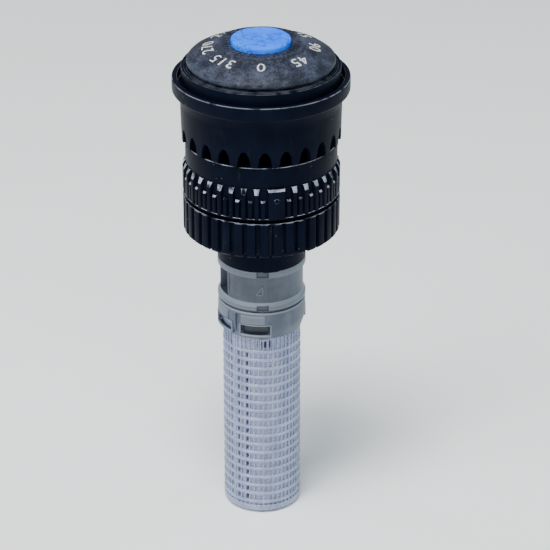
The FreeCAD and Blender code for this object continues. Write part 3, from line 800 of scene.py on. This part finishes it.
knurl = {"teeth": 38, "root": 10.96, "tip": 11.50, "phase": -3.5, "toothFoot": 0.1, "lead": 0.60,
         "band": 11.08, "bandDrop": 0.26, "bandHigh": 2.94, "bandThick": 0.72, "bandEdge": 0.2,
         "tallDrop": 0.30, "shoulder": 0.80, "shoulderIn": 0.40, "shortDrop": 2.1, "shortIn": 0.06,
         "marker": (4.0, 18.0), "lipHigh": 0.22, "bore": 10.21, "sleeve": (4.58, 5.45), "sleeveFoot": 6.4,
         "dot": (0.28, 0.40), "dotStand": 0.06, "dotAt": 11.0, "dotDrop": 2.15}
arcFoot, arcHigh = heightSpan("arc_ring")
radiusFoot, radiusHigh = heightSpan("radius_ring")
bandTop = cupFoot - knurl["bandDrop"]
knurlTop = bandTop - knurl["bandHigh"]
radiusTop = arcFoot - knurl["lead"]


def makeTeeth():                               # tall teeth all round, but not where the marker is
    k = knurl
    root = k["root"] - k["toothFoot"]
    high = knurlTop - k["tallDrop"]
    tall = wedge("tall", (-2.5, 2.5), (-1.45, 1.45),
                 [(arcFoot, root, k["tip"]), (high - k["shoulder"], root, k["tip"]),
                  (high, root, k["tip"] - k["shoulderIn"])], 1, 0.055)
    pitch = 360 / k["teeth"]
    teeth = bmesh.new()
    for i in range(k["teeth"]):
        middle = k["phase"] + i * pitch
        if k["marker"][0] - 1 < middle < k["marker"][1] + 1:
            continue
        tooth = joined(tall)
        tooth.transform(Matrix.Rotation(math.radians(middle), 4, "Z"))
        teeth.from_mesh(toMesh(tooth, "tooth"))
    return toMesh(teeth, "teeth")


def makeArcRing():
    k = knurl
    root = k["root"] - k["toothFoot"]
    high = knurlTop - k["tallDrop"]
    inner, outer = k["sleeve"]
    under = bandTop - k["bandThick"]
    core = turned("core", [(k["bore"], arcFoot), (k["root"], arcFoot, 0.05), (k["root"], knurlTop - 0.05),
                           (k["band"], knurlTop, 0.05), (k["band"], bandTop - 0.02, 0.12),
                           (k["band"] - k["bandEdge"], bandTop, 0.06), (inner, bandTop),
                           (inner, arcFoot + k["sleeveFoot"]), (outer, arcFoot + k["sleeveFoot"]),
                           (outer, under), (k["bore"], under)], 240)
    hub = turned("hub", [(inner + 0.01, bandTop - 0.3), (outer - 0.01, bandTop - 0.3),
                         (outer - 0.01, arcHigh), (inner + 0.01, arcHigh)], 72)
    shortTip = k["tip"] - k["shortIn"]
    shortTop = knurlTop - k["shortDrop"]
    short = wedge("short", (-1.9, 1.9), (-1.35, 1.35),
                  [(arcFoot, root, shortTip), (shortTop - 0.25, root, shortTip),
                   (shortTop, root, k["tip"] - 0.30)], 1, 0.05)
    first, last = k["marker"]
    marker = wedge("marker", (first, last), (first + 1, last - 1),
                   [(arcFoot, root, k["tip"] + 0.02), (high - 0.34, root, k["tip"] + 0.02),
                    (high - 0.02, root, k["tip"] - 0.20)], 8, 0.06)
    lipTip = k["tip"] - 0.03
    lip = turned("lip", [(root, arcFoot), (lipTip, arcFoot, 0.08), (lipTip, arcFoot + k["lipHigh"], 0.08),
                         (root, arcFoot + 0.30)], 240)
    inner, outer = k["dot"]
    dot = lathe([(inner, 0.0), (outer, 0.0), (outer, k["dotStand"], 0.03), (inner, k["dotStand"], 0.03)], 32)
    for v in dot.verts:                        # the small plain ring moulded on the marker
        x, y, out = [c / mm for c in v.co]
        v.co = polar(k["tip"] + out, k["dotAt"] + math.degrees(x / k["tip"]), knurlTop - k["dotDrop"] + y)
    shortAll = around(short, k["teeth"], "black_knurl", k["phase"] + 180 / k["teeth"])
    whole = joined(core, hub, lip, makeTeeth(), shortAll, marker, toMesh(dot, "dot"))
    finishMesh(whole, "arcRing", "black_knurl", "arc_control", "arc_ring", sharp=34)


grip = {"footRise": 0.45, "edge": 0.15, "bore": 9.38, "seat": 10.13, "lipHigh": 0.12, "lipIn": 0.10,
        "ribRoot": (-4.1, 4.1), "ribTip": (-2.9, 2.9), "ribDepth": 0.9, "ribLead": 0.36, "ribPhase": 2.0,
        "ribWander": 0.25}


def makeRadiusRing():
    k = knurl
    g = grip
    foot = radiusFoot + g["footRise"]
    lip = k["tip"] - g["lipIn"]
    core = turned("core", [(g["bore"], foot), (k["root"] - g["edge"], foot, 0.1),
                           (k["root"], foot + 0.3, 0.1), (k["root"], radiusTop - g["lipHigh"]),
                           (lip, radiusTop - g["lipHigh"], 0.03),
                           (lip, radiusTop, 0.06), (g["seat"], radiusTop, 0.05), (g["seat"], radiusHigh),
                           (g["bore"], radiusHigh)], 240)
    root = k["root"] - g["ribDepth"]
    rib = wedge("rib", g["ribRoot"], g["ribTip"],
                [(radiusFoot, root, k["tip"] - g["ribLead"]), (radiusFoot + g["ribLead"], root, k["tip"]),
                 (radiusTop - 0.06, root, k["tip"])], 2, 0.07)
    whole = joined(core, around(rib, k["teeth"], "black_knurl", g["ribPhase"], g["ribWander"]))
    finishMesh(whole, "radiusRing", "black_knurl", "radius_control", "radius_ring", sharp=34)


makeArcRing()
makeRadiusRing()
print("knurled rings ready")


# base and riser thread

baseSizes = {"nippleBore": 5.35, "nipple": 6.55, "seat": 6.75, "seatHigh": 0.8, "minor": 7.45,
             "minorPlay": 0.05, "skirt": 9.30, "skirtFoot": -6.1, "chamfer": (0.4, 0.5),
             "groove": (8.49, -1.1, -0.1), "mouth": 4.7, "hub": (2.43, 3.18), "arms": 3,
             "armRadii": (3.0, 5.5), "keySpan": (2.0, 22.0), "keyStand": 0.15}
thread = {"turns": 5.6, "pitch": 0.907, "out": 0.20, "foot": -5.5, "depth": 0.3024, "sides": 4, "steps": 96}
baseFoot, baseTop = heightSpan("nozzle_base")


def makeBase():
    b = baseSizes
    minor = b["minor"] + b["minorPlay"]
    chamferOut, chamferHigh = b["chamfer"]
    grooveRadius, grooveFoot, grooveTop = b["groove"]
    shell = turned("shell", [(b["nippleBore"], baseFoot), (b["nipple"], baseFoot, 0.10),
                             (b["nipple"], 0, 0.05), (b["seat"], 0.0), (b["seat"], b["seatHigh"]),
                             (minor, b["seatHigh"]),
                             (minor, b["skirtFoot"] + chamferHigh, 0.1),
                             (b["minor"] + chamferOut, b["skirtFoot"], 0.1),
                             (b["skirt"], b["skirtFoot"], 0.15), (b["skirt"], grooveFoot),
                             (grooveRadius, grooveFoot), (grooveRadius, grooveTop),
                             (b["skirt"], grooveTop), (b["skirt"], baseTop), (b["mouth"], baseTop, 0.1),
                             (b["mouth"], b["seatHigh"]), (b["nippleBore"], b["seatHigh"])], 192)
    inner, outer = b["hub"]
    hub = turned("hub", [(inner, 0.0), (outer, 0.0, 0.1), (outer, baseTop - 0.02, 0.1),
                         (inner, baseTop - 0.02)], 64)
    arm = wedge("arm", (-13, 13), (-8.0, 8.0),
                [(b["seatHigh"] + 0.02, *b["armRadii"]), (baseTop - 0.04, *b["armRadii"])], 4, 0.05)
    key = block("key", b["keySpan"], (baseFoot + 0.02, -0.05),
                (b["nipple"] - 0.2, b["nipple"] + b["keyStand"]), 10, 0.04)
    whole = joined(shell, hub, around(arm, b["arms"], "black_body"), key)
    finishMesh(whole, "nozzleBody", "black_body", "nozzle_body", "nozzle_base")


def makeThread():
    t = thread
    ridge = grown("thread", {"Turns": t["turns"], "Radius": (baseSizes["minor"] + t["out"]) * mm,
                             "Height": t["turns"] * t["pitch"] * mm, "Foot": t["foot"] * mm,
                             "Depth": t["depth"] * mm, "Sides": t["sides"], "Steps": t["steps"],
                             "Material": looks["black_body"]})
    placed(ridge, "riserThread", "black_body", "nozzle_body", sharp=25)


makeBase()
makeThread()
print("base ready")


# grey neck

neckSizes = {"ring": 6.55, "ringHigh": 1.0, "neck": 6.16, "bore": 4.25, "spigot": 5.31, "lowSpigot": 5.15,
             "lowRing": 5.6, "lowRingHigh": 0.75, "notch": 8.0, "notchAt": 1.2, "notchDepth": 0.12,
             "slot": (-84.0, -53.0), "slotDepth": 0.95, "ledge": 1.6, "ledgeStand": 0.12,
             "line": 8.3, "lineHalf": 0.07, "lineStand": 0.06, "proudOver": 0.05}
triangle = {"at": (-2.6, -13.9), "corners": ((3.6, 0.68), (4.6, -0.62), (-4.8, -0.62)), "barHalf": 0.085,
            "degreesAcross": 9, "sink": 0.05, "stand": 0.13}
neckFoot, neckTop = heightSpan("filter_neck")
collarFoot, collarTop = heightSpan("filter_collar")
ringFoot = baseFoot - neckSizes["ringHigh"]
lowTop = baseFoot - neckSizes["lowRing"]
lowFoot = lowTop - neckSizes["lowRingHigh"]


def makeTriangle():                            # three thin bars of a small plain moulded mark
    t = triangle
    x, z = t["at"]
    corners = [(x + dx, z + dz) for dx, dz in t["corners"]]
    inner = neckSizes["neck"] - t["sink"]
    outer = neckSizes["neck"] + t["stand"]
    bm = bmesh.new()
    for a, b in zip(corners, corners[1:] + corners[:1]):
        along = Vector((b[0] - a[0], b[1] - a[1])).normalized()
        side = Vector((-along.y, along.x)) * t["barHalf"]
        wide = side.x * t["degreesAcross"]
        flat = [(a[0] + wide, a[1] + side.y), (b[0] + wide, b[1] + side.y),
                (b[0] - wide, b[1] - side.y), (a[0] - wide, a[1] - side.y)]
        low = [bm.verts.new(polar(inner, degrees, height)) for degrees, height in flat]
        high = [bm.verts.new(polar(outer, degrees, height)) for degrees, height in flat]
        for k in range(4):
            n = (k + 1) % 4
            bm.faces.new((low[k], low[n], high[n], high[k]))
        bm.faces.new(high)
        bm.faces.new(low[::-1])
    return toMesh(bm, "mark")


def makeNeck():
    n = neckSizes
    ring = n["ring"]
    neck = n["neck"]
    spigotFoot = baseFoot - 0.02
    collarSeat = collarTop + 0.02
    body = turned("neck", [(n["bore"], neckFoot), (n["lowSpigot"], neckFoot, 0.15),
                           (n["lowSpigot"], collarSeat), (neck, collarSeat, 0.05), (neck, lowFoot, 0.05),
                           (ring, lowFoot, 0.10),
                           (ring, lowTop - 0.12, 0.16), (ring - 0.22, lowTop + 0.14, 0.06),
                           (neck + 0.04, lowTop + 0.42, 0.05), (neck, lowTop + 0.8), (neck, ringFoot, 0.06),
                           (ring, ringFoot, 0.06), (ring, baseFoot - 0.22, 0.10),
                           (ring - 0.16, spigotFoot, 0.05), (n["spigot"], spigotFoot),
                           (n["spigot"], neckTop, 0.2), (n["bore"], neckTop)], 216)
    outside = ring + 0.5
    slotTop = ringFoot - 0.15
    cutters = []
    for heights in ((ringFoot - 0.02, baseFoot + 0.02), (lowFoot - 0.1, lowTop + 0.02)):
        for turn in (0, 180):
            wide = (n["notchAt"] - n["notch"] + turn, n["notchAt"] + n["notch"] + turn)
            cutters.append(block("notch", wide, heights, (neck - n["notchDepth"], outside), 6))
    ledges = []
    for turn in (0, 180):                      # each slot, and the raised side beside it
        first, last = [degrees + turn for degrees in n["slot"]]
        cutters.append(block("slot", (first, last), (lowTop + 0.55, slotTop),
                             (neck - n["slotDepth"], neck + 0.5), 6))
        ledges.append(block("ledge", (last, last + n["ledge"]), (lowTop + 1.0, slotTop),
                            (neck - 0.3, neck + n["ledgeStand"]), 1, 0.04))
    line = block("line", (n["line"] - n["lineHalf"], n["line"] + n["lineHalf"]),
                 (lowTop + 0.5, ringFoot - 0.05), (neck - 0.1, neck + n["lineStand"]))
    whole = joined(cutAway(body, *cutters), makeTriangle(), line, *ledges)
    # the ring faces that stand out are painted pale: painted highlight
    finishMesh(whole, "greyNeck", "grey_neck", "nozzle_body", "filter_neck", sharp=32,
               proud=neck + n["proudOver"])


# collar, with a window and a snap arm for each tongue of the basket

collar = {"outer": 6.50, "bore": 5.88, "foot": 5.95, "straight": 1.70, "windowTop": 2.15, "windowHigh": 1.45,
          "windows": ((-8.9, 19.5), (-62.0, 18.5), (118.0, 18.5), (171.1, 19.5)),
          "armRoot": 0.5, "armShare": 0.66, "groove": (8.5, 2.0), "grooveDepth": 0.30,
          # the arm and the frame bars: (height, how far beyond the collar)
          "arm": ((0.28, 0.10), (0.40, 0.15)), "armTop": ((-0.75, 0.09), (-0.40, -0.02)),
          "frameWide": 1.07, "sillHigh": 0.42, "lintelHigh": 0.20, "frameStand": 0.17, "postWide": 1.13,
          # shadeShare and shadeDepth size the dark blocks behind the windows, which are painted shade
          "postStand": 0.15, "shadeShare": 0.98, "shadeDepth": (-0.08, 0.06), "proudOver": 0.02}
windowHead = collarTop - collar["windowTop"]
windowSill = windowHead - collar["windowHigh"]


def windowFrame(middle, half):                 # bars over and under a window, and a post at each side
    c = collar
    root = c["outer"] - c["armRoot"]
    stand = c["outer"] + c["frameStand"]
    wide = (middle - half * c["frameWide"], middle + half * c["frameWide"])
    low = windowSill - c["sillHigh"]
    high = windowHead + c["lintelHigh"]
    bars = []
    for foot, top in ((low, windowSill), (windowHead, high)):
        levels = [(foot, root, c["outer"] - 0.02), (foot + 0.12, root, stand), (top - 0.10, root, stand),
                  (top, root, c["outer"] + 0.06)]
        bars.append(wedge("rim", wide, wide, levels, 14, 0.03))
    for side in (-1, 1):
        post = sorted((middle + side * half * c["postWide"], middle + side * half))
        bars.append(block("post", post, (low, high), (root, c["outer"] + c["postStand"]), 2, 0.06))
    return bars


def makeCollar():
    c = collar
    root = c["outer"] - c["armRoot"]
    top = collarTop - 0.02
    body = turned("collar", [(c["bore"], collarFoot), (c["foot"], collarFoot, 0.04),
                             (c["foot"] + 0.18, collarFoot + 0.55, 0.3),
                             (c["outer"], collarFoot + c["straight"], 0.5),
                             (c["outer"], collarTop - 0.24, 0.12), (c["outer"] - 0.20, top, 0.06),
                             (c["bore"] + 0.25, top, 0.1),
                             (c["bore"], collarTop - 0.3)], 216)
    cutters = []
    rims = []
    for middle, half in c["windows"]:
        wide = (middle - half, middle + half)
        cutters.append(block("window", wide, (windowSill, windowHead), (c["bore"] - 0.6, c["outer"] + 0.6),
                             14, 0.22))
        groove = [middle - half - out for out in c["groove"]]      # frees the snap arm
        cutters.append(block("side", groove, (windowSill + 0.1, collarTop - 0.45),
                             (c["outer"] - c["grooveDepth"], c["outer"] + 0.6), 5))
        arm = (middle - half, middle + half * c["armShare"])
        levels = [(windowHead + rise, root, c["outer"] + out) for rise, out in c["arm"]]
        levels += [(collarTop + rise, root, c["outer"] + out) for rise, out in c["armTop"]]
        rims.append(wedge("arm", arm, arm, levels, 12, 0.05))
        rims += windowFrame(middle, half)
    whole = joined(cutAway(body, *cutters), *rims)
    # the arms and frames that stand out are painted pale: painted highlight
    finishMesh(whole, "snapCollar", "grey_collar", "nozzle_body", "filter_collar", sharp=32,
               proud=c["outer"] + c["proudOver"])
    shadeBlocks = []
    for middle, half in c["windows"][::3]:     # dark blocks seen behind the front and back windows: painted shade in the recesses
        reach = half * c["shadeShare"]
        shadeBlocks.append(block("shadeBlock", (middle - reach, middle + reach),
                             (windowSill + 0.02, windowHead - 0.02),
                             [c["bore"] + out for out in c["shadeDepth"]], 12, 0.03))
    finishMesh(joined(*shadeBlocks), "windowShadeBlocks", "grey_collar", "nozzle_body", look="shade")


makeNeck()
makeCollar()
print("neck and collar ready")


# screen basket

screen = {"radius": 5.85, "floorHigh": 0.9, "rimHigh": 1.15, "rimThick": 0.7, "headThick": 0.65,
          "hoops": 19, "pitch": 1.45, "firstHoop": 1.75, "hoopThick": 0.42, "hoopHigh": 0.56,
          "hoopFillet": 0.126, "hoopSteps": 144, "bars": 50, "barPhase": 2.2, "barHalf": 1.5, "barTaper": 0.8,
          "barOuter": 5.79, "ribs": 4, "ribPhase": 45.4, "sleeve": (5.14, 5.54), "cutOver": 0.4,
          "holeColumns": (-51.8, -37.4, -23.0), "holeHalf": 1.9, "holeHigh": 0.74,
          "slots": ((-0.8, 6.8), (-7.5, -4.0), (10.0, 13.5)), "slotDrop": (1.75, 0.55)}
tongue = {"share": 0.92, "drop": (1.35, 0.1), "inner": 0.3, "outer": (0.02, 0.30)}
# the small arch-shaped tab under the collar: its two legs and the bar across them
tab = {"middle": 3.0, "bars": ((-6.2, -4.2, 1.85, 0.15), (4.2, 6.2, 1.85, 0.15), (-6.2, 6.2, 0.45, 0.12)),
       "sink": 0.5, "stand": 0.06}
screenFoot, screenTop = heightSpan("filter_basket")


def makeSleeve(low, high):                     # the thin wall behind the lattice, with its open holes
    s = screen
    near, far = s["sleeve"]
    through = (near - s["cutOver"], far + s["cutOver"])
    wall = turned("sleeve", [(near, low), (far, low), (far, high), (near, high)], 144)
    cutters = []
    for column in s["holeColumns"] + tuple(c + 180 for c in s["holeColumns"]):
        for k in range(s["hoops"] - 1):        # one hole between each two hoops
            foot = screenFoot + s["firstHoop"] + (k + 0.5) * s["pitch"] - s["holeHigh"] / 2
            cutters.append(block("hole", (column - s["holeHalf"], column + s["holeHalf"]),
                                 (foot, foot + s["holeHigh"]), through))
    for wide in s["slots"]:                    # tall slots beside and inside the tab
        cutters.append(block("slot", wide, [collarFoot - drop for drop in s["slotDrop"]], through, 2))
    return cutAway(wall, *cutters)


def makeSnaps():                               # the tongues in the side windows, and the tab
    r = screen["radius"]
    snaps = []
    for middle, half in collar["windows"][1:3]:
        reach = half * tongue["share"]
        levels = [(windowHead - drop, r - tongue["inner"], r + out)
                  for drop, out in zip(tongue["drop"], tongue["outer"])]
        snaps.append(wedge("tongue", (middle - reach, middle + reach), (middle - reach, middle + reach),
                           levels, 10, 0.08))
    for first, last, drop, rest in tab["bars"]:
        snaps.append(block("tab", (tab["middle"] + first, tab["middle"] + last),
                           (collarFoot - drop, collarFoot - rest), (r - tab["sink"], r + tab["stand"]),
                           4, 0.05))
    return snaps


def makeScreen():
    s = screen
    r = s["radius"]
    rimTopAt = screenFoot + s["rimHigh"]
    floorTop = screenFoot + s["floorHigh"]
    headFoot = collarFoot - 0.10
    rim = turned("rim", [(0, screenFoot), (r - 0.35, screenFoot, 0.1), (r, screenFoot + 0.30, 0.15),
                         (r, rimTopAt, 0.1), (r - s["rimThick"], rimTopAt, 0.1),
                         (r - s["rimThick"], floorTop), (0, floorTop)], 144)
    head = turned("head", [(r - s["headThick"], headFoot), (r, headFoot, 0.1), (r, screenTop, 0.1),
                           (r - s["headThick"], screenTop)], 144)
    hoops = grown("hoops", {"Count": s["hoops"], "Pitch": s["pitch"] * mm,
                            "Radius": (r - s["hoopThick"] / 2) * mm, "Thickness": s["hoopThick"] * mm,
                            "Height": s["hoopHigh"] * mm, "Foot": (screenFoot + s["firstHoop"]) * mm,
                            "Fillet": s["hoopFillet"] * mm, "Resolution": s["hoopSteps"],
                            "Material": looks["clear_screen"]})
    low = screenFoot + 1.0
    high = collarFoot + 0.1
    behind = s["sleeve"][1] - 0.1
    half = s["barHalf"]
    taper = half * s["barTaper"]
    bar = wedge("bar", (-half, half), (-taper, taper),
                [(low, behind, s["barOuter"]), (high, behind, s["barOuter"])], 1, 0.05)
    rib = wedge("rib", (-1.8, 1.8), (-1.5, 1.5), [(low, behind, r - 0.02), (high, behind, r - 0.02)], 1, 0.06)
    bars = around(bar, s["bars"], "clear_screen", s["barPhase"])
    ribs = around(rib, s["ribs"], "clear_screen", s["ribPhase"])
    whole = joined(rim, head, hoops, makeSleeve(low, high), bars, ribs, *makeSnaps())
    finishMesh(whole, "screenBasket", "clear_screen", "nozzle_body", "filter_basket")


makeScreen()
print("screen ready")


# pieces kept from the frame

kept = {"riser_gasket": "black_rubber", "base_o_ring": "black_rubber", "centre_post": "acetal",
        "lower_bush": "brass", "upper_bush": "brass", "push_nut": "steel", "cup_o_ring": "black_rubber",
        "throttle_carrier": "acetal", "arc_o_ring": "black_rubber", "throttle_nut": "acetal",
        "throttle_washer": "black_rubber", "valve_sleeve": "acetal", "drive_shaft": "steel",
        "brake_disk": "brass", "top_clip": "steel", "spring_retainer": "acetal", "bottom_clip": "steel",
        "retraction_spring": "steel", "lip_seal": "black_rubber", "brake_pad": "black_rubber",
        "friction_plate": "brass"}
for node, look in kept.items():
    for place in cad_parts[node].material_slots:
        place.material = looks[look]
print("kept pieces dressed:", len(kept))


# floor, lights and camera

studio = {"cameraPlace": (0.0, -332.2, 153.8), "pitch": 26.85, "yaw": 0.343, "lens": 163.64, "sensor": 36,
          "floorTone": 0.93, "floorDrift": 0.03, "floorGrain": 40, "floorSize": 4.0, "floorDrop": 0.0002,
          "world": 0.36, "worldTint": (0.93, 0.96, 1.0, 1)}
# name, place, aim, size, power, tint
softboxes = (("key", (-260, -260, 420), (0, 0, 0), (260, 260), 1.6, (1, 1, 1)),
             ("front", (60, -520, 150), (0, 0, 0), (520, 90), 0.9, (1, 1, 1)),
             ("rimRight", (380, 120, 160), (0, 0, 0), (120, 320), 0.5, (0.55, 0.92, 1.0)),
             ("rimLeft", (-380, 160, 120), (0, 0, -10), (120, 320), 0.4, (0.7, 0.94, 1.0)),
             ("top", (-60, -150, 480), (0, 0, 0), (170, 170), 3.2, (1, 1, 1)))


def makeFloor():
    s = studio
    bm = bmesh.new()
    bmesh.ops.create_grid(bm, x_segments=1, y_segments=1, size=s["floorSize"])
    for v in bm.verts:
        v.co.z = cadBounds[0][2] - s["floorDrop"]
    m = Finish("paleFloor")
    tone = m.blend(m.noise(s["floorGrain"], 2), grey(s["floorTone"]), grey(s["floorTone"] + s["floorDrift"]))
    m.done({"Base Color": tone, "Roughness": 0.9})
    mesh = toMesh(bm, "floor")
    mesh.materials.append(m.material)
    linked("floor", mesh)


def softbox(name, place, aim, size, power, tint):
    light = bpy.data.lights.new(name, "AREA")
    light.shape = "RECTANGLE"
    light.size = size[0] * mm
    light.size_y = size[1] * mm
    light.energy = power
    light.color = tint
    lamp = linked(name, light)
    lamp.location = Vector(place) * mm
    lamp.rotation_euler = (Vector(aim) * mm - lamp.location).to_track_quat("-Z", "Y").to_euler()


def makeStudio():
    s = studio
    camera = bpy.data.cameras.new("camera")
    camera.lens = s["lens"]
    camera.sensor_width = s["sensor"]
    camera.clip_start = 0.01
    eye = linked("camera", camera)
    eye.location = Vector(s["cameraPlace"]) * mm
    eye.rotation_euler = (math.radians(90 - s["pitch"]), 0, -math.radians(s["yaw"]))
    bpy.context.scene.camera = eye
    world = bpy.data.worlds.new("world")
    world.use_nodes = True
    backdrop = world.node_tree.nodes["Background"]
    backdrop.inputs["Color"].default_value = s["worldTint"]
    backdrop.inputs["Strength"].default_value = s["world"]
    bpy.context.scene.world = world
    for box in softboxes:
        softbox(*box)


makeFloor()
makeStudio()
print("studio ready")
